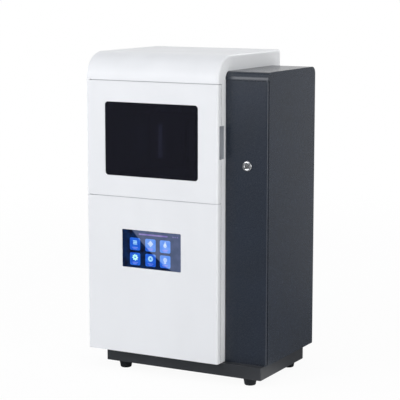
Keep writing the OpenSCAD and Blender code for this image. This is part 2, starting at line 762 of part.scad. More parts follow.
// Square stepper motor with end caps, pilot boss and cut corners
module z_motor() color("#26282c") difference() {
    union() {
        for (part = [[0, 9, 0], [9, motor_h - 9, 1], [motor_h - 9, motor_h, 0]])
            along_z(z_under - motor_h + part[0], z_under - motor_h + part[1])
                crect([xm, y_screw], [motor_w - part[2] * 1.5, motor_w - part[2] * 1.5], part[2] * 3 + 4);
        bar_z([xm, y_screw, z_under], 2, 11);
    }
    bar_z([xm, y_screw, z_under - 12], 20, shaft_r + run);
    for (a = [-1, 1], b = [-1, 1])
        bar_z([xm + a * motor_hole, y_screw + b * motor_hole, z_under - 5], 6, 1.5);
}

// Cantilever arm: tongue with a round end, upright ribs that deepen towards the carriage
module platform_arm() color("#a7abb1") difference() {
    union() {
        along_z(arm_z0, arm_z1) {
            translate([xm, vat_y]) circle(arm_w / 2);
            translate([xm - arm_w / 2, vat_y]) square([arm_w, y_plate - vat_y]);
        }
        for (s = [-1, 1])
            along_x(xm + s * (arm_w / 2 - 4) - 4, xm + s * (arm_w / 2 - 4) + 4)
                polygon([[vat_y + 20, arm_z1 - 1], [y_plate, arm_z1 - 1], [y_plate, z_car1 - 16],
                    [y_plate - 8, z_car1 - 16], [vat_y + 20, arm_z1 + 4]]);
    }
    bar_z([xm, vat_y, arm_z0 - over], arm_t + 2 * over, clamp_r + run);
    along_z(arm_z0 - over, arm_z0 + 6)
        crect([xm, (vat_y + y_plate) / 2 + 10], [arm_w - 16, 36], 6);
}

// Build platform: flat plate with bevelled top edges, neck, and four levelling screws
module build_platform() color("#8b9096") difference() {
    union() {
        along_z(z_platform, z_platform + platform_t) crect([xm, vat_y], [platform_w, platform_d], 3);
        along_z(z_platform + platform_t, arm_z0) crect([xm, vat_y], [56, 38], 5);
        for (a = [-1, 1], b = [-1, 1])
            bar_z([xm + a * 40, vat_y + b * 14, z_platform + platform_t], 4, 4);
    }
    bar_z([xm, vat_y, z_platform + platform_t + 3], arm_z0 - z_platform, clamp_r + run);
    for (s = [-1, 1]) {
        translate([xm, vat_y + s * platform_d / 2, z_platform + platform_t]) rotate([45, 0, 0])
            cube([platform_w + 2, 7, 7], center = true);
        translate([xm + s * platform_w / 2, vat_y, z_platform + platform_t]) rotate([0, 45, 0])
            cube([7, platform_d + 2, 7], center = true);
    }
}

module platform_knob() color("#1b1d21")
    knob([xm, vat_y, arm_z1 + 0.1], knob_r, knob_h, clamp_r, arm_t + 8);

// ---------------------------------------------------------------- light engine

// Shelf hung from the deck on four posts
module projector_mount() color("#777c83") {
    along_z(z_engine - mount_t, z_engine) difference() {
        rrect([xm - post_x - shelf_edge, vat_y - post_y - shelf_edge],
            [xm + post_x + shelf_edge, y_engine0 + engine_d + 8], 6);
        crect([xm, y_engine0 + engine_d / 2], [engine_w * 0.6, engine_d * 0.45], 10);
    }
    for (a = [-1, 1], b = [-1, 1])
        bar_z([xm + a * post_x, vat_y + b * post_y, z_engine], z_under - z_engine, post_r);
}

// Cast housing, closed, with grooves along its sides
engine_wall = 5;
grooves = 7;
module projector_housing() color("#2f3237") difference() {
    e0 = [xm - engine_w / 2, y_engine0];
    e1 = e0 + [engine_w, engine_d];
    wall = [engine_wall, engine_wall];
    along_z(z_engine, z_lens) rrect(e0, e1, 6);
    along_z(z_engine + engine_wall, z_lens - engine_wall) rrect(e0 + wall, e1 - wall, 2);
    for (x = [e0.x, e1.x], i = [0:grooves - 1])
        along_z(z_engine + 12, z_lens - 12)
            crect([x, e0.y + engine_d * (i + 2) / (grooves + 3)], [4, engine_d / 18], 0.8);
}

// Lens: flange, barrel and hood, with a domed front element
module projector_lens() color("#17181b") {
    translate([xm, vat_y, z_lens]) rotate_extrude() difference() {
        polygon([[0, 0], [lens_r + 6, 0], [lens_r + 6, 8], [lens_r, 12], [lens_r, lens_l - 16],
            [lens_r + 3, lens_l - 12], [lens_r + 3, lens_l], [0, lens_l]]);
        polygon([[0, lens_l - 8], [lens_r - 6, lens_l - 8], [lens_r, lens_l + over], [0, lens_l + over]]);
    }
    intersection() {
        translate([xm, vat_y, z_lens + lens_l - 8 - lens_r]) sphere(lens_r + 3);
        bar_z([xm, vat_y, z_lens + lens_l - 9], 9, lens_r - 6);
    }
}

ring_h = 16;
module focus_ring() color("#3b3e44") difference() {
    bar_z([xm, vat_y, z_lens + ring_rise], ring_h, lens_r + 5);
    bar_z([xm, vat_y, z_lens + ring_rise - over], ring_h + 2 * over, lens_r + run);
    for (i = [0:23])
        translate([xm, vat_y, z_lens + ring_rise + 3]) rotate(i * 15)
            translate([lens_r + 5.6, 0, 0]) cylinder(h = ring_h - 6, r = 1.6);
}

fins = 11;
fin_t = 2;
sink_w = 80;
module led_heat_sink() color("#b9bdc2") {
    y = y_engine0 + engine_d;
    z = z_engine + 5;
    pitch = (sink_w - fin_t) / (fins - 1);
    translate([xm - sink_w / 2, y, z]) {
        cube([sink_w, 6, engine_h - 10]);
        for (i = [0:fins - 1]) translate([i * pitch, 6, 0]) cube([fin_t, 24, engine_h - 10]);
    }
}

// ---------------------------------------------------------------- front panels

// Plan of a front panel, as (x, y); the back of its hinge edge is rounded about the hinge pin
module panel_plan(hinged)
    rrect([x0, y_front], [x1, y_panel], [edge_r, edge_r, 0.8, hinged ? panel_t / 2 : 0.8]);

// Hollow behind the skin of a front panel, without its ribs
module panel_hollow(from_x, z_low, z_high)
    box([from_x, y_front + skin_t, z_low + rim_t], [x1 - rim_t, y_panel - liner_sheet, z_high - rim_t]);

// A frame that stands on the skin round an opening
module opening_frame(c, size, r, wall)
    along_y(y_front + skin_t - over, y_panel - liner_sheet + over)
        crect(c, size + 2 * [wall, wall], r + wall);

module door_shell() color("#eceef3") difference() {
    along_z(door_z0, door_z1) panel_plan(true);
    difference() {
        panel_hollow(x0 + hinge_strip, door_z0, door_z1);
        opening_frame([xm, window_z], pane_size, window_r, rim_t);
        for (z = [door_z0 + 24, door_z1 - 24]) box([x0, y_front, z], [x1, y_panel, z + rib_t]);
        box([x1 - pull_depth - rim_t, y_front, pull0 - rim_t], [x1, y_panel, pull1 + rim_t]);
    }
    // seat of the liner
    box([liner_x0, y_panel - liner_sheet, door_z0 + rim_t], [x1 - rim_t, y_panel + over, door_z1 - rim_t]);
    // window opening, and the wider seat of the pane behind the skin
    along_y(y_front - over, y_panel) crect([xm, window_z], window_size, window_r);
    along_y(y_front + skin_t, y_panel) crect([xm, window_z], pane_size, window_r);
    // notch for the fingers, and the bores of the hinge pins
    box([x1 - pull_depth, y_panel - panel_t / 2, pull0], [x1 + over, y_panel + over, pull1]);
    bar_z([pin_x, pin_y, door_z0 - over], pin_reach + 1 + over, pin_r + run);
    bar_z([pin_x, pin_y, door_z1 - pin_reach - 1], pin_reach + 1 + over, pin_r + run);
}

magnet_z = [door_z0 + 14, door_z1 - 14];
magnet_x = x1 - rim_t - 10;
module door_liner() color("#d5d8dc") along_y(y_panel - liner_sheet, y_panel) difference() {
    rrect([liner_x0, door_z0 + rim_t], [x1 - rim_t, door_z1 - rim_t], 1);
    crect([xm, window_z], window_size - [2, 2], window_r);
    for (z = magnet_z) translate([magnet_x, z]) circle(magnet_d / 2);
    translate([x1 - pull_depth, pull0]) square([pull_depth, pull_h]);
}

module door_magnets() color("#b8bbc0")
    for (z = magnet_z) bar_y([magnet_x, y_panel - liner_sheet, z], liner_sheet, magnet_d / 2);

module door_window() color("#20212a") {
    along_y(y_front + skin_t, y_front + skin_t + window_t) crect([xm, window_z], pane_size, window_r);
    along_y(y_front + window_step, y_front + skin_t) crect([xm, window_z], window_size, window_r);
}

module window_gasket() color("#1a1b1e")
    along_y(y_front + skin_t + window_t, y_panel - liner_sheet) difference() {
        crect([xm, window_z], pane_size, window_r);
        crect([xm, window_z], pane_size - 2 * [gasket_w, gasket_w], window_r - 1);
    }

seal_w = 8;
seal_t = panel_gap - fit;
module door_seal() color("#2a2c30") along_y(y_face - seal_t, y_face) difference() {
    rrect(hatch0 - [seal_w, seal_w], hatch1 + [seal_w, seal_w], seal_w);
    rrect(hatch0 - [1, 1], hatch1 + [1, 1], 2);
}

// Pivot pins of the door: one under the head, one on the lower front panel, with thrust washers
module door_hinge_pins() color("#c7cacd") {
    bar_z([pin_x, pin_y, z_head - seam - pin_reach], pin_reach + seam + shell_t, pin_r);
    bar_z([pin_x, pin_y, z_head + shell_t], 2, pin_r + 2);
    bar_z([pin_x, pin_y, lower_z1 - pin_root], pin_root + seam + pin_reach, pin_r);
    bar_z([pin_x, pin_y, lower_z1], seam - 0.1, pin_r + 2);
}

stud_r = 5;
module lower_front_panel() color("#e8e9ec") difference() {
    union() {
        difference() {
            along_z(z_body, lower_z1) panel_plan(false);
            difference() {
                panel_hollow(x0 + hinge_strip, z_body, lower_z1);
                opening_frame([xm, screen_z], cover_size, 3, rim_t);
                for (i = [1:3]) {
                    z = z_body + i * lower_h / 4 - (i == 3 ? 0 : 20);
                    box([x0, y_front, z], [x1, y_front + 10, z + rib_t]);
                }
                for (x = [xm - body_w / 4, xm + body_w / 4])
                    box([x, y_front, z_body], [x + rib_t, y_front + 10, z_body + lower_h / 3]);
            }
            box([x0 + hinge_strip, y_panel - liner_sheet - over, z_body + rim_t],
                [x1 - rim_t, y_panel + over, lower_z1 - rim_t]);
        }
        // studs that hold the panel on the front frame
        for (x = [x0 + frame_margin / 2 + 6, x1 - frame_margin / 2],
            z = [z_body + 16, (z_body + lower_z1) / 2, lower_z1 - 30])
            bar_y([x, y_front + skin_t - over, z], y_face - y_front - skin_t + over, stud_r);
    }
    along_y(y_front - over, y_panel) crect([xm, screen_z], screen_size, 2);
    along_y(y_front + skin_t, y_panel) crect([xm, screen_z], cover_size, 3);
    bar_z([pin_x, pin_y, lower_z1 - pin_root], pin_root + over, pin_r);
}

module touch_glass() color("#0b0f20") {
    along_y(y_front + skin_t, y_front + skin_t + glass_t) crect([xm, screen_z], cover_size, 3);
    along_y(y_front + glass_step, y_front + skin_t) crect([xm, screen_z], screen_size, 2);
}

// Display with its board and connector behind the cover glass
module lcd_module() color("#3c5a46") {
    y = y_front + skin_t + glass_t;
    along_y(y, y + display_t) crect([xm, screen_z], cover_size - [2, 2], 2);
    along_y(y + display_t, y + display_t + 1.6) crect([xm, screen_z], screen_size - [20, 16], 2);
    box([xm - 22, y + display_t + 1.6, screen_z - 12], [xm + 22, y + display_t + 7, screen_z + 2]);
    box([xm + 30, y + display_t + 1.6, screen_z + 10], [xm + 50, y + display_t + 5, screen_z + 22]);
}

// ---------------------------------------------------------------- control cabinet

// Folded housing: rounded upper edges, screw flange round the door opening, air slots behind
module cabinet_shell() color("#3b3f47") difference() {
    along_x(x1, x2) rrect([yc0, z_body], [yc1, z_cab_top], [0, 2, cab_r, cab_r]);
    along_x(x1 + cab_t, x2 - cab_t) difference() {
        rrect([yc0 + cab_t, z_body + cab_t], [yc1 - cab_t, z_cab_top - cab_t],
            [0, 0, cab_r - cab_t, cab_r - cab_t]);
        translate([yc0, z_body]) square([y_cab_face + cab_t - yc0, z_cab_lip + cab_t - z_body]);
    }
    // room for the door, and the opening inside the flange
    box([x1 - over, yc0 - over, z_body + cab_t], [x2 + over, y_cab_face, z_cab_lip]);
    along_y(yc0, y_cab_face + cab_t + over)
        rrect([x1 + cab_t + cab_flange, z_body + cab_t + cab_flange],
            [x2 - cab_t - cab_flange, z_cab_lip - cab_flange], 6);
    bar_z([cab_pin_x, cab_pin_y, z_body - over], cab_t + 2 * over, cab_pin_r);
    bar_z([cab_pin_x, cab_pin_y, z_cab_lip - over], cab_t + 2 * over, cab_shank_r);
    // rear: openings of the inlet, the switch and the ports, and air slots
    along_y(yc1 - cab_t - over, yc1 + over) {
        crect([rear_x, inlet_z], [28, 22], 2);
        crect([rear_x, switch_z], [13, 20], 1);
        crect([rear_x, port_z], [40, 22], 1);
        for (i = [0:8]) slot([rear_x, z_cab_top - 110 + i * 10], 60, 4);
    }
}

// Door: folded tray with a round bead along the hinge pins
module cabinet_door() color("#363b43") difference() {
    along_z(cab_door_z0, cab_door_z1) {
        rrect([x1 + cab_gap, yc0], [cab_pin_x, yc0 + cab_door_t], [1.5, 0, 0, 0.5]);
        translate([cab_pin_x, cab_pin_y]) circle(cab_bead);
    }
    difference() {
        box([x1 + cab_gap + cab_skin, yc0 + cab_skin, cab_door_z0 + cab_skin],
            [cab_pin_x - cab_bead - 1, yc0 + cab_door_t + over, cab_door_z1 - cab_skin]);
        for (i = [1:5]) {
            z = cab_door_z0 + i * (cab_door_z1 - cab_door_z0) / 6;
            box([x1, yc0, z], [x2, yc0 + cab_door_t - 1, z + 1.5]);
        }
    }
    bar_y([lock_x, yc0 - over, lock_z], cab_skin + 2 * over, barrel_r);
    bar_y([lock_x, yc0 + cab_skin, lock_z], cab_door_t, nut_room);
    for (z = [cab_door_z0 - over, cab_door_z1 - pin_reach])
        bar_z([cab_pin_x, cab_pin_y, z], pin_reach + over, cab_pin_r + run);
}

// Lower pin pressed into the floor; upper pin riveted by a thinner shank in the shelf over the door
module cabinet_hinge_pins() color("#c7cacd") {
    bar_z([cab_pin_x, cab_pin_y, z_body], cab_t + cab_gap + pin_reach - 1, cab_pin_r);
    bar_z([cab_pin_x, cab_pin_y, cab_door_z1 - pin_reach + 1], pin_reach - 1 + cab_gap, cab_pin_r);
    bar_z([cab_pin_x, cab_pin_y, z_cab_lip - over], cab_t + over, cab_shank_r);
}

// Lock body: flange, barrel and hexagon nut, bored for the plug
module lock_body() color("#d9dbde") difference() {
    union() {
        bar_y([lock_x, yc0 - flange_proud, lock_z], flange_proud, lock_r);
        bar_y([lock_x, yc0, lock_z], y_cam - 0.4 - yc0, barrel_r);
        translate([lock_x, yc0 + cab_skin, lock_z]) rotate([-90, 0, 0])
            cylinder(h = 4, r = lock_r + 2, $fn = 6);
    }
    bar_y([lock_x, yc0 - flange_proud - over, lock_z], y_cam - yc0 + flange_proud + 2 * over, plug_r + run);
}

// Plug with a slanting key slot; the cam's square sits behind
slot_tilt = 45;
module lock_plug() color("#c9ccd0") difference() {
    bar_y([lock_x, yc0 - flange_proud + 0.3, lock_z], y_cam - yc0 + flange_proud - 0.3, plug_r);
    translate([lock_x, yc0 - flange_proud, lock_z]) rotate([0, slot_tilt, 0])
        cube([1.8, 12, 8], center = true);
}

// The cam hangs upright when unlocked and turns sideways behind the flange
module lock_cam() color("#b9bdc2") difference() {
    union() {
        along_y(y_cam, y_cam + cam_t) {
            translate([lock_x, lock_z]) circle(cam_w / 2 + 2);
            rrect([lock_x - cam_w / 2, lock_z], [lock_x + cam_w / 2, lock_z + cam_l], [0, 0, 2, 2]);
        }
        bar_y([lock_x, y_cam + cam_t, lock_z], 2.5, 4.5);
    }
    translate([lock_x, y_cam + cam_t + 2.5, lock_z]) cube([1.2, 2, 7], center = true);
}

// Mounting plate on spacers along the cabinet's inner wall
module electrics_plate() color("#c9ccd1") difference() {
    union() {
        along_x(x_plate, x_plate + plate_sheet)
            rrect([y_plate0, z_supply - 30], [y_plate1, z_board + board_h + 20], 4);
        for (y = [y_plate0 + 12, y_plate1 - 12], z = [z_supply - 15, z_board + board_h + 8])
            bar_x([x1 + cab_t, y, z], plate_gap + plate_sheet, 5);
    }
    along_x(x_plate - over, x_plate + plate_sheet + over)
        for (i = [0:2]) slot([y_plate0 + 50 + i * 40, z_supply + supply_h + 22], 28, 8);
}

// Enclosed supply: folded cover with air slots, terminal strip at the lower end
supply_d = 115;
supply_t = 1.5;
supply_slots = 10;
module power_supply() color("#aeb3b8") translate([x_plate + plate_sheet, y_plate0 + 25, z_supply])
    difference() {
        union() {
            cube([supply_w, supply_d, supply_h]);
            translate([4, 10, -12]) cube([16, supply_d - 20, 12]);
        }
        translate([1, 1, 1] * supply_t) cube([supply_w, supply_d, supply_h] - [2, 2, 2] * supply_t);
        along_x(supply_w - supply_t - over, supply_w + over)
            for (i = [0:supply_slots - 1])
                slot([supply_d / 2, 25 + i * (supply_h - 50) / (supply_slots - 1)], supply_d - 30, 5);
    }

// Controller board on spacers, with connectors, capacitors, a heat sink and driver sockets
board_d = 150;
board_gap = 6;
board_top = board_gap + 1.6;
module main_board() color("#1f4d36") {
    translate([x_plate + plate_sheet, y_plate0 + 15, z_board]) {
        for (y = [6, board_d - 6], z = [6, board_h - 6]) bar_x([0, y, z], board_gap, 3);
        along_x(board_gap, board_top) rrect([0, 0], [board_d, board_h], 3);
        for (i = [0:5]) translate([board_top, 20 + i * 20, 4]) cube([11.4, 14, 9]);
        for (i = [0:3]) translate([board_top, 18 + i * 30, 40]) cube([10.4, 20, 18]);
        for (i = [0:2]) bar_x([board_top, 30 + i * 18, board_h - 25], 16, 6);
        for (i = [0:6]) translate([board_top, 95 + i * 5, 90]) cube([14.4, 2, 35]);
    }
}

// ---------------------------------------------------------------- rear fittings

// Recessed inlet for a mains plug, with three flat blades
module power_inlet() color("#1b1c1f") {
    difference() {
        union() {
            along_y(yc1, yc1 + 2.5) crect([rear_x, inlet_z], [48, 28], 3);
            along_y(yc1 - 20, yc1) crect([rear_x, inlet_z], [27.6, 21.6], 2);
        }
        along_y(yc1 - 15, yc1 + 3.5)
            rrect([rear_x - 12, inlet_z - 8], [rear_x + 12, inlet_z + 8], [1, 1, 5, 5]);
        for (s = [-1, 1]) bar_y([rear_x + s * 20, yc1 - over, inlet_z], 5, 1.8);
    }
    for (q = [[-7, -2], [0, 3], [7, -2]])
        translate([rear_x + q.x - 1, yc1 - 16, inlet_z + q.y - 2.5]) cube([2, 13, 5]);
}

// Rocker, tilted to off, on a cross pin in the frame that data_ports carries
rocker_y = yc1 - 4;
rocker_tilt = 8;
rocker_pin_r = 1.2;
module power_switch() color("#151619") {
    translate([0, rocker_y, switch_z]) rotate([rocker_tilt, 0, 0])
        along_x(rear_x - 4.4, rear_x + 4.4)
            polygon([[2, -8], [5.5, -8], [4.2, 0], [5.5, 8], [2, 8], [-4, 0]]);
    bar_x([rear_x - 5.8, rocker_y, switch_z], 11.6, rocker_pin_r);
}

// Network and serial sockets on one carrier with the rocker's frame
module data_ports() color("#8f949a") {
    difference() {
        union() {
            along_y(yc1, yc1 + 1.5) crect([rear_x, port_z], [48, 28], 2);
            along_y(yc1 - 16, yc1) crect([rear_x, port_z], [39.6, 21.6], 1);
        }
        box([rear_x - 17, yc1 - 12, port_z - 6], [rear_x - 1, yc1 + 3, port_z + 7]);
        for (z = [-6, 3]) box([rear_x + 3, yc1 - 12, port_z + z], [rear_x + 17, yc1 + 3, port_z + z + 5.5]);
    }
    difference() {
        union() {
            along_y(yc1, yc1 + 1.5) crect([rear_x, switch_z], [17, 24], 1.5);
            along_y(yc1 - 14, yc1) crect([rear_x, switch_z], [12.6, 19.6], 1);
        }
        along_y(yc1 - 12, yc1 + 2.5) crect([rear_x, switch_z], [10, 17.6], 0.5);
        bar_x([rear_x - 6, rocker_y, switch_z], 12, rocker_pin_r + run);
    }
}

fan_hole = fan_w * 0.446;
module exhaust_fan_frame() color("#1c1d20") difference() {
    union() {
        difference() {
            along_y(y_fan0, y_sheet0) crect([fan_x, fan_z], [fan_w, fan_w], 6);
            bar_y([fan_x, y_fan0 - over, fan_z], fan_t + 2 * over, fan_r);
        }
        bar_y([fan_x, y_fan0, fan_z], 4, hub_r);
        intersection() {
            for (a = [45, 135]) translate([fan_x, y_fan0 + 1.5, fan_z]) rotate([0, a, 0])
                cube([2 * fan_r + 2, 3, 4], center = true);
            bar_y([fan_x, y_fan0, fan_z], 4, fan_r + 1);
        }
    }
    for (a = [-1, 1], b = [-1, 1])
        bar_y([fan_x + a * fan_hole, y_fan0 - over, fan_z + b * fan_hole], fan_t + 2 * over, 2);
    bar_y([fan_x, y_fan0 - over, fan_z], 8, 2 + run);
}

// Rotor: hub, shaft, and seven pitched blades
blades = 7;
module exhaust_fan_rotor() color("#2a2c30") {
    bar_y([fan_x, y_fan0 + 5, fan_z], fan_t - 8, hub_r);
    bar_y([fan_x, y_fan0 + 0.5, fan_z], 5, 2);
    intersection() {
        bar_y([fan_x, y_fan0 + 5, fan_z], fan_t - 8, fan_r - 1.5);
        for (i = [0:blades - 1])
            translate([fan_x, y_fan0 + fan_t / 2 + 1, fan_z]) rotate([0, i * 360 / blades, 0])
                translate([hub_r - 2, 0, 0]) rotate([42, 0, 0]) translate([0, -12, -0.8])
                    cube([fan_r, 24, 1.6]);
    }
}

// Wire guard: rings on a cross, with four lugs
module fan_guard() color("#b9bcc1") {
    for (r = [10, 17, 24, 31])
        translate([fan_x, y_sheet1, fan_z]) rotate([-90, 0, 0])
            rotate_extrude() translate([r, 0.2]) square([1.6, guard_t - 0.4]);
    for (a = [45, 135])
        translate([fan_x, y_sheet1 + guard_t / 2, fan_z]) rotate([0, a, 0])
            cube([2 * fan_hole * sqrt(2), guard_t - 0.6, 2], center = true);
    for (a = [-1, 1], b = [-1, 1])
        bar_y([fan_x + a * fan_hole, y_sheet1, fan_z + b * fan_hole], guard_t, 4);
}

// Filter box between the chamber's grille and the fan, open on both faces through a grid
module filter_cartridge() color("#3a3d42") difference() {
    along_y(y_filter0, y_fan0) crect([fan_x, fan_z], [fan_w, fan_w], 4);
    for (i = [-3:3]) along_y(y_filter0 - over, y_fan0 + over)
        slot([fan_x, fan_z + i * grille_pitch], grille_l, 4);
}

module panel_screws() color("#9da1a6") {
    for (q = rear_screws) difference() {
        union() {
            bar_y([q.x, y_sheet1, q.y], 1.8, screw_m);
            bar_y([q.x, y_sheet0 - 4, q.y], 5 + panel_sheet, screw_m / 2);
        }
        for (a = [0, 90]) translate([q.x, y_sheet1 + 1.8, q.y]) rotate([0, a, 0])
            cube([screw_m, 1.2, 0.7], center = true);
    }
    for (q = foot_places) {
        bar_z([q.x, q.y, foot_h / 2 - 3], 3, 4.5);
        bar_z([q.x, q.y, foot_h / 2], foot_h / 2 + foot_grip, foot_screw_r);
    }
}

base_plinth();
rubber_feet();
floor_pan();
chassis_frame();
outer_shell();
rear_panel();
front_frame();
chamber_liner();
chamber_lamp();
deck_plate();
deck_glass();
vat_tray();
vat_film();
vat_film_frame();
vat_knob_left();
vat_knob_right();
z_column();
z_rails();
z_carriage();
lead_nut();
lead_screw();
shaft_coupler();
screw_bearings();
z_motor();
platform_arm();
build_platform();
platform_knob();
projector_mount();
projector_housing();
projector_lens();
focus_ring();
led_heat_sink();
lower_front_panel();
lcd_module();
touch_glass();
door_shell();
door_liner();
door_window();
window_gasket();
door_magnets();
door_seal();
door_hinge_pins();
finger_pull();
cabinet_shell();
cabinet_door();
cabinet_hinge_pins();
lock_body();
lock_plug();
lock_cam();
electrics_plate();
power_supply();
main_board();
power_inlet();
power_switch();
data_ports();
exhaust_fan_frame();
exhaust_fan_rotor();
fan_guard();
filter_cartridge();
panel_screws();
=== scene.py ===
"""Desktop resin printer: white enamelled body, moulded door and panel, dark control cabinet.

Metres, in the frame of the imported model: +X right, -Y front, +Z up, feet on Z = 0.
"""

import json
import math

import bmesh
import bpy
from mathutils import Matrix, Vector


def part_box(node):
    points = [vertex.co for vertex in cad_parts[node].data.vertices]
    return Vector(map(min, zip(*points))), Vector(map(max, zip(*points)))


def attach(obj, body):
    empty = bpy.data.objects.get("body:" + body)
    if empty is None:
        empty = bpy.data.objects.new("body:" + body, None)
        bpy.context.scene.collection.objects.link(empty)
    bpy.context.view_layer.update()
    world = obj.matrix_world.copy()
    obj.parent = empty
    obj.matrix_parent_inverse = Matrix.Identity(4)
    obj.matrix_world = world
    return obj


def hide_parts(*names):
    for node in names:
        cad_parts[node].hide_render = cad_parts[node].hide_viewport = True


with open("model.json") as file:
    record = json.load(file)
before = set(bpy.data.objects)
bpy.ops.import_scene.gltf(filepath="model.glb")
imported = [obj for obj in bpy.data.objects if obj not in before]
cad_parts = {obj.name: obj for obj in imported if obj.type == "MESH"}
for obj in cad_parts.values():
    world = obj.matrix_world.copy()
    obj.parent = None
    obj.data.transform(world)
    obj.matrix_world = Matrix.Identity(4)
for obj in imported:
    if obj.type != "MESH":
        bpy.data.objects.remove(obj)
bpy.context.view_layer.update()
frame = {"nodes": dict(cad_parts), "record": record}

MM = 0.001

# ------------------------------------------------------------------ camera and studio

CAMERA_AT = (1.627, -3.033, 0.924)
CAMERA_TURN = (math.radians(81.22), 0, math.radians(28.37))
CAMERA_LENS = 133.6
CAMERA_REACH = 500        # past the far edge of the floor
SENSOR = 36

BACKDROP = "#ffffff"
FLOOR_SIZE = 400
PAPER_GLOW = 0.94         # share of the floor's look that is plain backdrop white, near the printer
PAPER_FADE = (1.0, 3.0)   # distance over which the rest fades to plain white
SKY_LIGHT = 0.32
ROOM_DARK = 0.16          # what polished faces mirror from the unlit rest of the studio
# Where the room is lit: the way from the printer, and the cosines of the angles from it at which
# the light ends and is full
LIT_WAYS = (
    ((-0.475, 0.88, 0), (0.4, 0.95)),    # paper behind the printer
    ((0.93, -0.37, 0), (0.8, 0.97)),     # pool of light under the right lamp
)

LAMPS_AIM = (0, 0, 0.4)
LAMPS = (                 # name, place, width and height, watts, colour
    ("key_light", (-1.4, -2.85, 1.6), (1.8, 1.8), 45.5, "#fdfdff"),
    ("top_light", (0.1, -1.1, 2.8), (2.4, 2.4), 18.5, "#ffffff"),
    ("right_light", (2.9, -0.6, 1.2), (1.6, 2.2), 37, "#fffefb"),
    ("left_light", (-2.9, 0.6, 0.8), (1.6, 1.6), 22, "#ffffff"),
    ("rear_light", (0.9, 2.4, 2.1), (1.6, 1.6), 20, "#ffffff"),
)


def linear(hex_colour):
    """An sRGB hex colour as linear red, green, blue and alpha."""
    values = [int(hex_colour[i:i + 2], 16) / 255 for i in (1, 3, 5)]
    straight = [v / 12.92 if v <= 0.04045 else ((v + 0.055) / 1.055) ** 2.4 for v in values]
    return (*straight, 1)


def feed(tree, node, inputs):
    """Links each input that is given as a socket, and sets any other to its value."""
    for socket, value in inputs.items():
        if isinstance(value, bpy.types.NodeSocket):
            tree.links.new(value, node.inputs[socket])
        else:
            node.inputs[socket].default_value = value


def add(tree, kind, inputs=None, **settings):
    """Adds a node with its settings and inputs."""
    node = tree.nodes.new(kind)
    for name, value in settings.items():
        setattr(node, name, value)
    feed(tree, node, inputs or {})
    return node


def empty_tree(owner):
    """The cleared node tree of a material or world."""
    owner.use_nodes = True
    owner.node_tree.nodes.clear()
    return owner.node_tree


def ramp(tree, value, span, ends, course="LINEAR"):
    """Runs from the first of ends to the second while value runs over span."""
    return add(tree, "ShaderNodeMapRange",
               {"Value": value, "From Min": span[0], "From Max": span[1],
                "To Min": ends[0], "To Max": ends[1]}, interpolation_type=course).outputs[0]


def larger(tree, first, second):
    return add(tree, "ShaderNodeMath", {0: first, 1: second}, operation="MAXIMUM").outputs[0]


def make_camera():
    camera = bpy.data.cameras.new("camera")
    camera.lens = CAMERA_LENS
    camera.sensor_width = SENSOR
    camera.clip_end = CAMERA_REACH
    holder = bpy.data.objects.new("camera", camera)
    holder.location = CAMERA_AT
    holder.rotation_euler = CAMERA_TURN
    bpy.context.scene.collection.objects.link(holder)
    bpy.context.scene.camera = holder


def seen_directly(tree):
    """1 for what the camera, a mirror or a clear pane shows, 0 for light that falls on things."""
    path = add(tree, "ShaderNodeLightPath").outputs
    shown = larger(tree, path["Is Camera Ray"], path["Is Glossy Ray"])
    return larger(tree, shown, path["Is Transmission Ray"])


def backdrop_level(tree, place):
    """Full for the camera; polished faces mirror a room that is dark but for its LIT_WAYS."""
    way = add(tree, "ShaderNodeVectorMath", {0: place}, operation="NORMALIZE").outputs[0]
    levels = []
    for lit_way, edge in LIT_WAYS:
        near = add(tree, "ShaderNodeVectorMath", {0: way, 1: lit_way}, operation="DOT_PRODUCT")
        levels.append(ramp(tree, near.outputs["Value"], edge, (ROOM_DARK, 1), "SMOOTHSTEP"))
    mirrored = add(tree, "ShaderNodeLightPath").outputs["Is Glossy Ray"]
    return ramp(tree, mirrored, (0, 1), (1, larger(tree, *levels)))


def make_sky():
    world = bpy.data.worlds.new("studio")
    tree = empty_tree(world)
    way = add(tree, "ShaderNodeTexCoord").outputs["Object"]
    light = add(tree, "ShaderNodeBackground", {"Color": linear("#f8f9fc"), "Strength": SKY_LIGHT})
    shown = add(tree, "ShaderNodeBackground",
                {"Color": linear(BACKDROP), "Strength": backdrop_level(tree, way)})
    both = add(tree, "ShaderNodeMixShader",
               {0: seen_directly(tree), 1: light.outputs[0], 2: shown.outputs[0]})
    add(tree, "ShaderNodeOutputWorld", {"Surface": both.outputs[0]})
    bpy.context.scene.world = world


def make_floor():
    """Matt white paper; most of its look is plain backdrop white, so the shadow stays soft."""
    shape = bmesh.new()
    bmesh.ops.create_grid(shape, x_segments=1, y_segments=1, size=FLOOR_SIZE / 2)
    paper = bpy.data.materials.new("studio_paper")
    tree = empty_tree(paper)
    place = add(tree, "ShaderNodeTexCoord").outputs["Object"]
    away = add(tree, "ShaderNodeVectorMath", {0: place}, operation="LENGTH").outputs["Value"]
    glow = ramp(tree, away, PAPER_FADE, (PAPER_GLOW, 1), "SMOOTHSTEP")
    matt = add(tree, "ShaderNodeBsdfDiffuse", {"Color": linear("#f7f7f7")})
    white = add(tree, "ShaderNodeEmission",
                {"Color": linear(BACKDROP), "Strength": backdrop_level(tree, place)})
    share = add(tree, "ShaderNodeMath", {0: seen_directly(tree), 1: glow}, operation="MULTIPLY")
    both = add(tree, "ShaderNodeMixShader",
               {0: share.outputs[0], 1: matt.outputs[0], 2: white.outputs[0]})
    add(tree, "ShaderNodeOutputMaterial", {"Surface": both.outputs[0]})
    floor = piece("studio_floor", shape, paper)


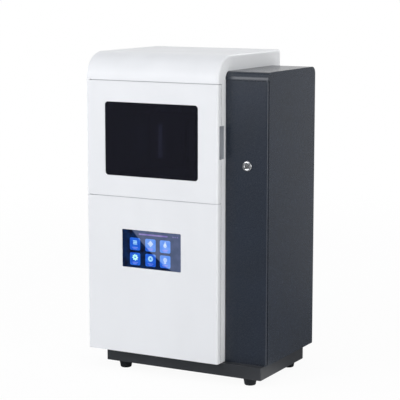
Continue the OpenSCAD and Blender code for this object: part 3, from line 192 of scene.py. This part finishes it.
def soft_light(name, place, size, power, colour):
    """A rectangular lamp that faces the printer."""
    lamp = bpy.data.lights.new(name, "AREA")
    lamp.shape = "RECTANGLE"
    lamp.size, lamp.size_y = size
    lamp.energy = power
    lamp.color = linear(colour)[:3]
    holder = bpy.data.objects.new(name, lamp)
    holder.location = place
    way = Vector(LAMPS_AIM) - Vector(place)
    holder.rotation_euler = way.to_track_quat("-Z", "Y").to_euler()
    bpy.context.scene.collection.objects.link(holder)


# ------------------------------------------------------------------ materials

def new_material(name):
    """An empty material with its shader, and the coordinates that its patterns read."""
    material = bpy.data.materials.new(name)
    tree = empty_tree(material)
    shader = add(tree, "ShaderNodeBsdfPrincipled")
    add(tree, "ShaderNodeOutputMaterial", {"Surface": shader.outputs[0]})
    place = add(tree, "ShaderNodeTexCoord").outputs["Object"]
    return material, tree, shader, place


def noise(tree, place, size, detail=3, rough=0.5):
    """Cloudy noise whose lumps are about size metres across."""
    cloud = add(tree, "ShaderNodeTexNoise",
                {"Vector": place, "Scale": 1 / size, "Detail": detail, "Roughness": rough})
    return cloud.outputs["Fac"]


def stretched(tree, place, factors):
    return add(tree, "ShaderNodeMapping", {"Vector": place, "Scale": factors}).outputs[0]


def between(tree, factor, low, high):
    """A value that runs from low to high with a noise that stays mostly between 0.3 and 0.7."""
    return ramp(tree, factor, (0.3, 0.7), (low, high))


def blended(tree, factor, first, second):
    """First where factor is 0 and second where it is 1; each is a socket or a hex colour."""
    first, second = (linear(end) if isinstance(end, str) else end for end in (first, second))
    return add(tree, "ShaderNodeMix", {"Factor": factor, "A": first, "B": second},
               data_type="RGBA").outputs["Result"]


def bumped(tree, shader, height, depth):
    bump = add(tree, "ShaderNodeBump", {"Height": height, "Distance": depth, "Strength": 1})
    feed(tree, shader, {"Normal": bump.outputs[0]})


def powder_coat(name, colour, shade, rough, grain, depth, specular):
    """Powder coat baked on sheet steel: soft orange-peel lumps and a slightly uneven gloss."""
    material, tree, shader, place = new_material(name)
    clouds = noise(tree, place, 90 * MM, 2)
    peel = noise(tree, place, grain, 2, 0.4)
    feed(tree, shader, {
        "Base Color": blended(tree, between(tree, clouds, 0, 1), colour, shade),
        "Roughness": between(tree, peel, rough - 0.02, rough + 0.03),
        "IOR": 1.5, "Specular IOR Level": specular})
    bumped(tree, shader, peel, depth)
    return material


def moulded(name, colour, shade, rough, grain, depth, ior=1.53, specular=0.5):
    """Injection-moulded plastic: a fine spark-eroded grain over faint, broad flow marks."""
    material, tree, shader, place = new_material(name)
    flow = noise(tree, stretched(tree, place, (1, 1, 0.4)), 120 * MM, 2)
    grit = add(tree, "ShaderNodeTexVoronoi", {"Vector": place, "Scale": 1 / grain},
               feature="SMOOTH_F1").outputs["Distance"]
    feed(tree, shader, {
        "Base Color": blended(tree, between(tree, flow, 0, 1), colour, shade),
        "Roughness": between(tree, flow, rough - 0.03, rough + 0.03),
        "IOR": ior, "Specular IOR Level": specular})
    bumped(tree, shader, grit, depth)
    return material


def metal(name, colour, shade, rough, grain, stretch, depth):
    """Worked metal: a grain drawn out along one way, which also breaks up its gloss."""
    material, tree, shader, place = new_material(name)
    lines = noise(tree, stretched(tree, place, stretch), grain, 3, 0.6)
    stains = noise(tree, place, 60 * MM, 2)
    feed(tree, shader, {
        "Base Color": blended(tree, between(tree, stains, 0, 1), colour, shade),
        "Roughness": between(tree, lines, rough * 0.8, rough * 1.25), "Metallic": 1})
    bumped(tree, shader, lines, depth)
    return material


def zinc_plate(name):
    """Galvanised sheet: crystal spangles a few millimetres across, each with its own grey."""
    material, tree, shader, place = new_material(name)
    spangle = add(tree, "ShaderNodeTexVoronoi",
                  {"Vector": place, "Scale": 1 / (7 * MM)}).outputs["Color"]
    grey = add(tree, "ShaderNodeSeparateColor", {"Color": spangle}).outputs[0]
    feed(tree, shader, {
        "Base Color": blended(tree, grey, "#aeb3b8", "#c3c7cb"),
        "Roughness": between(tree, grey, 0.34, 0.44), "Metallic": 0.9})
    bumped(tree, shader, noise(tree, place, 2 * MM), 0.01 * MM)
    return material


def clear(name, colour, ior, rough=0.02):
    """Glass or clear film, with the faint smears that a wiped surface keeps."""
    material, tree, shader, place = new_material(name)
    smears = noise(tree, stretched(tree, place, (1, 1, 3)), 25 * MM, 4)
    feed(tree, shader, {
        "Base Color": linear(colour), "Roughness": between(tree, smears, rough, rough + 0.05),
        "Transmission Weight": 1, "IOR": ior})
    return material


def smoked_acrylic(name):
    """Cast acrylic sheet with a dense smoke tint: polished, and little light comes through."""
    material, tree, shader, place = new_material(name)
    smears = noise(tree, stretched(tree, place, (1, 1, 2)), 40 * MM, 4)
    feed(tree, shader, {
        "Base Color": linear("#33354a"), "Roughness": between(tree, smears, 0.05, 0.09),
        "Transmission Weight": 0.85, "IOR": 1.49, "Specular IOR Level": 0.2})
    return material


def rubber(name):
    """Moulded rubber: matt, with a little dust in its grain."""
    material, tree, shader, place = new_material(name)
    dust = noise(tree, place, 6 * MM, 4)
    feed(tree, shader, {
        "Base Color": blended(tree, between(tree, dust, 0, 1), "#181b20", "#202328"),
        "Roughness": between(tree, dust, 0.62, 0.78),
        "IOR": 1.52, "Specular IOR Level": 0.25})
    bumped(tree, shader, noise(tree, place, 0.8 * MM), 0.03 * MM)
    return material


def circuit_board(name):
    """Green solder mask over copper tracks, which show as paler lines in a regular grid."""
    material, tree, shader, place = new_material(name)
    tracks = add(tree, "ShaderNodeTexBrick",
                 {"Vector": place, "Scale": 1 / (9 * MM), "Mortar Size": 0.06,
                  "Color1": linear("#1c4a33"), "Color2": linear("#23573c"),
                  "Mortar": linear("#3c7a52")})
    feed(tree, shader, {
        "Base Color": tracks.outputs["Color"],
        "Roughness": between(tree, noise(tree, place, 4 * MM), 0.28, 0.4)})
    return material


def opal(name):
    """Opal polycarbonate over a row of small white LEDs, dim in daylight."""
    material, tree, shader, place = new_material(name)
    feed(tree, shader, {
        "Base Color": blended(tree, noise(tree, place, 6 * MM), "#f6f6ee", "#e4e6e0"),
        "Roughness": 0.45, "Emission Color": linear("#f4f8ff"), "Emission Strength": 0.25})
    return material


FINISHES = {
    "white_enamel": powder_coat("white_powder_coat", "#eceef1", "#e7e9ec", 0.36, 1.6 * MM,
                                0.012 * MM, 0.32),
    "white_plastic": moulded("white_moulded_abs", "#eceef1", "#e8eaed", 0.34, 0.9 * MM,
                             0.006 * MM, specular=0.35),
    "graphite_enamel": powder_coat("graphite_powder_coat", "#262e3b", "#252c37", 0.26, 1.3 * MM,
                                   0.0012 * MM, 0.5),
    "plinth_enamel": powder_coat("plinth_powder_coat", "#303338", "#2a2d32", 0.45, 1.3 * MM,
                                 0.012 * MM, 0.5),
    "dark_enamel": powder_coat("satin_black_enamel", "#1d1f22", "#18191c", 0.42, 1.3 * MM,
                               0.012 * MM, 0.3),
    "black_rubber": rubber("moulded_rubber"),
    "zinc_sheet": zinc_plate("galvanised_sheet"),
    "plain_aluminium": metal("milled_aluminium", "#c6c9cd", "#b8bcc1", 0.3, 3 * MM, (0.1, 6, 6),
                             0.01 * MM),
    "bright_steel": metal("ground_steel", "#cfd2d6", "#c2c6ca", 0.2, 2 * MM, (8, 8, 0.2),
                          0.006 * MM),
    "bright_chrome": metal("polished_chrome", "#dddfe2", "#d2d5d9", 0.08, 12 * MM, (1, 1, 1),
                           0.002 * MM),
    "brass": metal("turned_brass", "#c9a14c", "#b98f3d", 0.24, 1.5 * MM, (1, 1, 6), 0.008 * MM),
    "tinted_acrylic": smoked_acrylic("smoked_acrylic"),
    "clear_glass": clear("float_glass", "#eef7f6", 1.52),
    "clear_film": clear("fluoropolymer_film", "#f2f6f6", 1.34, 0.12),
    "screen_glass": moulded("black_cover_glass", "#070a16", "#05070f", 0.07, 3 * MM, 0, 1.52, 0.35),
    "black_plastic": moulded("black_moulded_nylon", "#16181b", "#1b1d21", 0.45, 0.9 * MM,
                             0.02 * MM),
    # Grey moulded plastic; where it lines the finger pull's recess, which is white, its grey is
    # painted shade
    "grey_plastic": moulded("grey_moulded_abs_and_pull_shade", "#b4b8be", "#acb0b6", 0.42, 0.9 * MM, 0.01 * MM),
    "lamp_plastic": opal("opal_polycarbonate"),
    "circuit_board": circuit_board("solder_mask"),
}
# Foam in the door seams, grey to stand for their shade: painted shade
SEAM_SHADE_FOAM = moulded("grey_foam_painted_seam_shade", "#c3c6ca", "#b6b9be", 0.8, 0.9 * MM, 0.02 * MM, specular=0.2)


# ------------------------------------------------------------------ shaping

SHARP_FROM = 35            # degrees between two faces from which their edge reads as sharp


def piece(name, shape, material, smooth_below=SHARP_FROM):
    """Turns a bmesh into an object at the origin, with smooth shading across its gentle edges."""
    bmesh.ops.recalc_face_normals(shape, faces=shape.faces)
    limit = math.radians(smooth_below)
    for edge in shape.edges:
        edge.smooth = len(edge.link_faces) == 2 and edge.calc_face_angle() < limit
    for face in shape.faces:
        face.smooth = True
    mesh = bpy.data.meshes.new(name)
    shape.to_mesh(mesh)
    shape.free()
    mesh.materials.append(material)
    made = bpy.data.objects.new(name, mesh)
    bpy.context.scene.collection.objects.link(made)
    return made


def fit_piece(made, body, slot, *nodes):
    """Rides on its body and stands for the nodes whose form it refines; its slot is not used."""
    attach(made, body)
    if nodes:
        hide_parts(*nodes)


def stood_up(shape, verts):
    """Turns what was made lying down, so that its top faces front."""
    bmesh.ops.rotate(shape, cent=(0, 0, 0), matrix=Matrix.Rotation(math.pi / 2, 3, "X"),
                     verts=verts)


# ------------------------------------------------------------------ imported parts

EDGE_ROUND = {             # in millimetres, where an edge is rounder than SMALL_ROUND
    "outer_shell": 1.4, "door_shell": 1.6, "lower_front_panel": 1.6, "cabinet_shell": 1.4,
    "cabinet_door": 0.8, "base_plinth": 1.2, "touch_glass": 0.4, "door_window": 0.4,
}
SMALL_ROUND = 0.3
WELD_REACH = 0.002 * MM
FLAT_WITHIN = 0.5          # degrees


def dress_node(name, node, material):
    """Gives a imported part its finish, and the small rounding that its edges really have."""
    node.data.materials.clear()
    node.data.materials.append(material)
    weld = node.modifiers.new("weld", "WELD")
    weld.merge_threshold = WELD_REACH
    flat = node.modifiers.new("flat_faces", "DECIMATE")
    flat.decimate_type = "DISSOLVE"
    flat.angle_limit = math.radians(FLAT_WITHIN)
    edges = node.modifiers.new("rounded_edges", "BEVEL")
    edges.width = EDGE_ROUND.get(name, SMALL_ROUND) * MM
    edges.segments = 3
    edges.limit_method = "ANGLE"
    edges.angle_limit = math.radians(SHARP_FROM)
    edges.use_clamp_overlap = True
    level = node.modifiers.new("flat_faces_shade_flat", "WEIGHTED_NORMAL")
    level.mode = "FACE_AREA"
    level.weight = 100
    for face in node.data.polygons:
        face.use_smooth = True


slots = {row["node"]: row["material_slot"] for row in frame["record"]["subparts"]}
for node_name, node in frame["nodes"].items():
    dress_node(node_name, node, FINISHES[slots[node_name]])

# ------------------------------------------------------------------ touch screen picture

SCREEN_LOW = (-129 * MM, 249.5 * MM)      # lower left corner of the picture, X and Z
SCREEN_SIZE = (154 * MM, 88 * MM)
SCREEN_MARGIN = 0.3 * MM
SCREEN_CORNER = 1 * MM
GLASS_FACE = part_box("touch_glass")[0][1]
GLARE_CENTRE = (228.5 * MM, 0, 625.2 * MM)  # painted glare on the glass: a paler disc about this
GLARE_RADIUS = 439 * MM
GLARE_BLUR = 1.5 * MM
TILE = (27.5 * MM, 29 * MM)
TILE_CORNER = 3.5 * MM
TILE_U = (0.22, 0.485, 0.735)            # centres of the tiles across and up the picture
TILE_V = (0.63, 0.235)
CAPTIONS = (               # width, height, corner, and place over the tile's centre
    (15 * MM, 1.8 * MM, 0.8 * MM, -8.2 * MM), (10 * MM, 1.5 * MM, 0.7 * MM, -11.2 * MM))
ICON_RISE = 3.4 * MM       # height of an icon's middle over the tile's centre
MENU_BAR = (11 * MM, 2.3 * MM, 1 * MM)   # width, height and corner
MENU_PITCH = 3.4 * MM
BULB_FOOT = (5 * MM, 3.4 * MM, 0.6 * MM)
TITLE_AT = (0.53, 0.9)
TITLE = (76 * MM, 3.6 * MM, 1.6 * MM)
TITLE_DOTS = (0.87, 0.905, 0.94)
LAYER = 0.06 * MM          # thickness of each flat layer of the picture
WALL, TILES, ICONS, MARKS = 1, 2, 3, 4   # layers in front of the glass


def lit(name, dark, glared):
    """Lit liquid-crystal picture behind glass, paler inside a disc of painted glare."""
    material, tree, shader, place = new_material(name)
    flat = add(tree, "ShaderNodeVectorMath", {0: place, 1: (1, 0, 1)}, operation="MULTIPLY")
    away = add(tree, "ShaderNodeVectorMath", {0: flat.outputs[0], 1: GLARE_CENTRE},
               operation="DISTANCE").outputs["Value"]
    # painted reflection: 1 inside the disc of glare on the glass, 0 outside it
    in_glare = ramp(tree, away, (GLARE_RADIUS - GLARE_BLUR, GLARE_RADIUS + GLARE_BLUR), (1, 0))
    mottled = between(tree, noise(tree, place, 14 * MM, 2), 0, 1)
    colour = blended(tree, in_glare, blended(tree, mottled, *dark), blended(tree, mottled, *glared))
    feed(tree, shader, {
        "Emission Color": colour, "Emission Strength": 1, "Base Color": linear("#02030a"),
        "Roughness": 0.12, "Specular IOR Level": 0.3})
    return material


# Each layer's first pair of tones is its own; the second is paler, the painted glare on the glass
WALLPAPER = lit("screen_wallpaper", ("#020922", "#052652"), ("#4e5a76", "#5a6484"))
TILE_FACE = lit("screen_tile", ("#124bc4", "#2f74ea"), ("#5f93f2", "#7fa9fa"))
ICON_FACE = lit("screen_icon", ("#8ec8ff", "#b0e4ff"), ("#a9c9ff", "#d3e4ff"))
BRIGHT_ICON = lit("screen_bright_icon", ("#a8fff4", "#ccffff"), ("#d2f0ff", "#ecfaff"))
CAPTION_FACE = lit("screen_caption", ("#5f7fe6", "#7f8ef0"), ("#8f93f0", "#a9a6f6"))
TITLE_FACE = lit("screen_title", ("#343f9a", "#4048a8"), ("#7a6fb4", "#978dc4"))


def on_screen(shape, before, u, v, layer):
    """Thickens the new flat faces, stands them up facing front, and places them on the picture."""
    new = [face for face in shape.faces if face not in before]
    grown = bmesh.ops.extrude_face_region(shape, geom=new)["geom"]
    top = [vert for vert in grown if isinstance(vert, bmesh.types.BMVert)]
    bmesh.ops.translate(shape, vec=(0, 0, LAYER), verts=top)
    verts = list({vert for face in shape.faces if face not in before for vert in face.verts})
    stood_up(shape, verts)
    spot = (SCREEN_LOW[0] + u * SCREEN_SIZE[0], GLASS_FACE - layer * LAYER,
            SCREEN_LOW[1] + v * SCREEN_SIZE[1])
    bmesh.ops.translate(shape, vec=spot, verts=verts)


def plate(shape, u, v, width, height, corner, layer, rise=0):
    before = set(shape.faces)
    verts = bmesh.ops.create_grid(shape, x_segments=1, y_segments=1, size=0.5)["verts"]
    bmesh.ops.scale(shape, vec=(width, height, 1), verts=verts)
    bmesh.ops.translate(shape, vec=(0, rise, 0), verts=verts)
    bmesh.ops.bevel(shape, geom=verts, offset=corner, offset_type="OFFSET", segments=4,
                    profile=0.5, affect="VERTICES", material=-1)
    on_screen(shape, before, u, v, layer)


def disc(shape, u, v, radius, sides, layer, rise=0, narrow=1.0, teeth=1.0):
    """A flat regular shape: a dot, a triangle, a diamond or, with teeth, a cog."""
    before = set(shape.faces)
    verts = bmesh.ops.create_circle(shape, cap_ends=True, segments=sides, radius=radius)["verts"]
    bmesh.ops.scale(shape, vec=(teeth, teeth, 1), verts=verts[::4] + verts[1::4])
    bmesh.ops.scale(shape, vec=(narrow, 1, 1), verts=verts)
    bmesh.ops.translate(shape, vec=(0, rise, 0), verts=verts)
    on_screen(shape, before, u, v, layer)


def make_screen():
    """Six tiles in two rows, each with an icon over two caption bars, under a title strip."""
    picture = bmesh.new()
    width, height = (side - 2 * SCREEN_MARGIN for side in SCREEN_SIZE)
    plate(picture, 0.5, 0.5, width, height, SCREEN_CORNER, WALL)
    tiles, icons, bright, captions, title = (bmesh.new() for _ in range(5))
    for u in TILE_U:
        for v in TILE_V:
            plate(tiles, u, v, *TILE, TILE_CORNER, TILES)
            for width, height, corner, rise in CAPTIONS:
                plate(captions, u, v, width, height, corner, ICONS, rise)
    left, middle, right = TILE_U
    upper, lower = TILE_V
    up = ICON_RISE
    for line in (-1, 0, 1):
        plate(icons, left, upper, *MENU_BAR, ICONS, up + line * MENU_PITCH)
    disc(icons, middle, upper, 7.6 * MM, 4, ICONS, up)
    disc(icons, right, upper, 5 * MM, 3, ICONS, up + 4.2 * MM, narrow=0.8)
    disc(icons, right, upper, 4.6 * MM, 20, ICONS, up - 1 * MM)
    disc(bright, left, lower, 6 * MM, 32, ICONS, up, teeth=1.3)
    disc(icons, middle, lower, 6.6 * MM, 28, ICONS, up)
    disc(icons, right, lower, 5.2 * MM, 24, ICONS, up + 1 * MM)
    plate(icons, right, lower, *BULB_FOOT, ICONS, up - 6 * MM)
    disc(bright, right, upper, 2 * MM, 16, MARKS, up + 1 * MM)
    disc(tiles, left, lower, 2 * MM, 20, MARKS, up)
    disc(tiles, middle, lower, 3.2 * MM, 3, MARKS, up)
    plate(title, *TITLE_AT, *TITLE, TILES)
    for u in TITLE_DOTS:
        disc(title, u, TITLE_AT[1], 1.4 * MM, 12, TILES)
    for name, shape, material in (
            ("screen_picture", picture, WALLPAPER), ("screen_tiles", tiles, TILE_FACE),
            ("screen_icons", icons, ICON_FACE), ("screen_bright_icons", bright, BRIGHT_ICON),
            ("screen_captions", captions, CAPTION_FACE), ("screen_title_strip", title, TITLE_FACE)):
        fit_piece(piece(name, shape, material), "printer", "screen_glass")


# ------------------------------------------------------------------ lock, screw and seals

LOCK_AT = (174 * MM, 497 * MM)
LOCK_RADIUS = 11 * MM
PLUG_RADIUS = 6 * MM
RIM_INSET = 0.3 * MM       # the rim stands this far inside the flange and outside the plug
RIM_CROWN = 1.3 * MM
RIM_POINTS = 12
RIM_SMOOTH = 60            # degrees

SCREW_STARTS = 4
START_POINTS = 4           # two on the crest and two in the root, for each start
SCREW_LEAD = 8 * MM
THREAD_DEPTH = 0.8 * MM
TURN_STEPS = 16            # steps to a turn of the thread
THREAD_SMOOTH = 30         # degrees
SHAFT_RADIUS = 2.5 * MM
SHAFT_OVERLAP = 1 * MM     # length of the plain shaft that lies inside the thread

BODY_HEIGHTS = (47.5 * MM, 677 * MM)
PULL_HEIGHTS = (510 * MM, 586 * MM)      # the right gap is open here, for the fingers
GAPS = (                   # edge of the panels, the way into the body, heights of the rubber, whose black is painted gap shade
    (-223 * MM, 1, (BODY_HEIGHTS,)),
    (119 * MM, -1, ((BODY_HEIGHTS[0], PULL_HEIGHTS[0]), (PULL_HEIGHTS[1], BODY_HEIGHTS[1]))))
GAP_INSETS = (0.15 * MM, 1.4 * MM)       # of the rubber's two sides, from the panels' edge
GAP_DEPTHS = (-141.96 * MM, -141.02 * MM)
GAP_ROUND = 0.15 * MM
SEAM_HEIGHTS = ((411.25 * MM, 412.45 * MM), (677.55 * MM, 678.75 * MM))
SEAM_WIDTHS = (-206 * MM, 117.6 * MM)
SEAM_DEPTHS = (-156.6 * MM, -144 * MM)
SEAM_ROUND = 0.3 * MM


def turned(shape, outline):
    """Spins a closed outline of (radius, height) points round Z."""
    points = [shape.verts.new((radius, 0, height)) for radius, height in outline]
    sides = [shape.edges.new(pair) for pair in zip(points, points[1:] + points[:1])]
    bmesh.ops.spin(shape, geom=points + sides, cent=(0, 0, 0), axis=(0, 0, 1), angle=2 * math.pi,
                   steps=48, use_merge=True)


def bar(shape, low, high, edge):
    """A bar from corner to corner whose edges are rounded."""
    verts = bmesh.ops.create_cube(shape, size=1)["verts"]
    bmesh.ops.scale(shape, vec=Vector(high) - Vector(low), verts=verts)
    bmesh.ops.translate(shape, vec=(Vector(high) + Vector(low)) / 2, verts=verts)
    sides = list({side for vert in verts for side in vert.link_edges})
    bmesh.ops.bevel(shape, geom=sides, offset=edge, offset_type="OFFSET", segments=2, profile=0.5,
                    affect="EDGES", material=-1)


def make_lock_rim():
    """Polished ring, crowned like a bead, on the flange of the cabinet's lock."""
    inner, outer = PLUG_RADIUS + RIM_INSET, LOCK_RADIUS - RIM_INSET
    centre, half = (inner + outer) / 2, (outer - inner) / 2
    turns = [math.pi * point / RIM_POINTS for point in range(RIM_POINTS + 1)]
    rim = bmesh.new()
    turned(rim, [(centre - half * math.cos(turn), RIM_CROWN * math.sin(turn)) for turn in turns])
    stood_up(rim, rim.verts)
    bmesh.ops.translate(rim, vec=(LOCK_AT[0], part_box("lock_body")[0][1], LOCK_AT[1]),
                        verts=rim.verts)
    fit_piece(piece("lock_rim", rim, FINISHES["bright_chrome"], RIM_SMOOTH), "cabinet_door",
              "bright_chrome")


def make_screw_thread():
    """Lead screw with its four-start thread, over a plain shaft at its lower end."""
    low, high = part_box("lead_screw")
    coupler_low, coupler_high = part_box("shaft_coupler")
    middle = (low + high) / 2
    radius = (high[0] - low[0]) / 2
    start, end = (coupler_low[2] + coupler_high[2]) / 2, high[2]
    shape = bmesh.new()
    ring = bmesh.ops.create_circle(shape, cap_ends=False, segments=SCREW_STARTS * START_POINTS,
                                   radius=radius)["verts"]
    root = (radius - THREAD_DEPTH) / radius
    bmesh.ops.scale(shape, vec=(root, root, 1),
                    verts=[vert for i, vert in enumerate(ring) if i % START_POINTS > 1])
    turns = (end - start) / SCREW_LEAD
    steps = round(turns * TURN_STEPS)
    bmesh.ops.spin(shape, geom=ring + list(shape.edges), cent=(0, 0, 0), axis=(0, 0, 1),
                   dvec=(0, 0, (end - start) / steps), angle=2 * math.pi * turns, steps=steps)
    bmesh.ops.holes_fill(shape, edges=[side for side in shape.edges if len(side.link_faces) == 1])
    bmesh.ops.translate(shape, vec=(middle[0], middle[1], start), verts=shape.verts)
    shaft_top = start + SHAFT_OVERLAP
    shaft = bmesh.ops.create_cone(shape, cap_ends=True, segments=32, radius1=SHAFT_RADIUS,
                                  radius2=SHAFT_RADIUS, depth=shaft_top - low[2])["verts"]
    bmesh.ops.translate(shape, vec=(middle[0], middle[1], (low[2] + shaft_top) / 2), verts=shaft)
    fit_piece(piece("lead_screw_thread", shape, FINISHES["bright_steel"], THREAD_SMOOTH), "screw",
              "bright_steel", "lead_screw")


def make_seals():
    """Rubber gasket in the gap behind the panels' ends, black to paint the gap's shade, and foam in
    the seams over and under the door, grey to paint their shade.
    """
    lines = bmesh.new()
    for edge, way, spans in GAPS:
        near, far = sorted(edge + way * inset for inset in GAP_INSETS)
        for bottom, top in spans:
            bar(lines, (near, GAP_DEPTHS[0], bottom), (far, GAP_DEPTHS[1], top), GAP_ROUND)
    # a gasket whose black also stands for the shade in the gap: painted shade
    fit_piece(piece("panel_gap_rubber_painted_shade", lines, FINISHES["black_rubber"]), "printer", "black_rubber")
    strips = bmesh.new()
    for bottom, top in SEAM_HEIGHTS:
        bar(strips, (SEAM_WIDTHS[0], SEAM_DEPTHS[0], bottom), (SEAM_WIDTHS[1], SEAM_DEPTHS[1], top),
            SEAM_ROUND)
    # the foam's grey stands for the shade in the seams: painted shade
    fit_piece(piece("seam_foam_painted_shade", strips, SEAM_SHADE_FOAM), "printer", "white_plastic")


make_screen()
make_lock_rim()
make_screw_thread()
make_seals()

make_camera()
make_sky()
make_floor()
for lamp in LAMPS:
    soft_light(*lamp)
bpy.context.scene.view_settings.view_transform = "Standard"
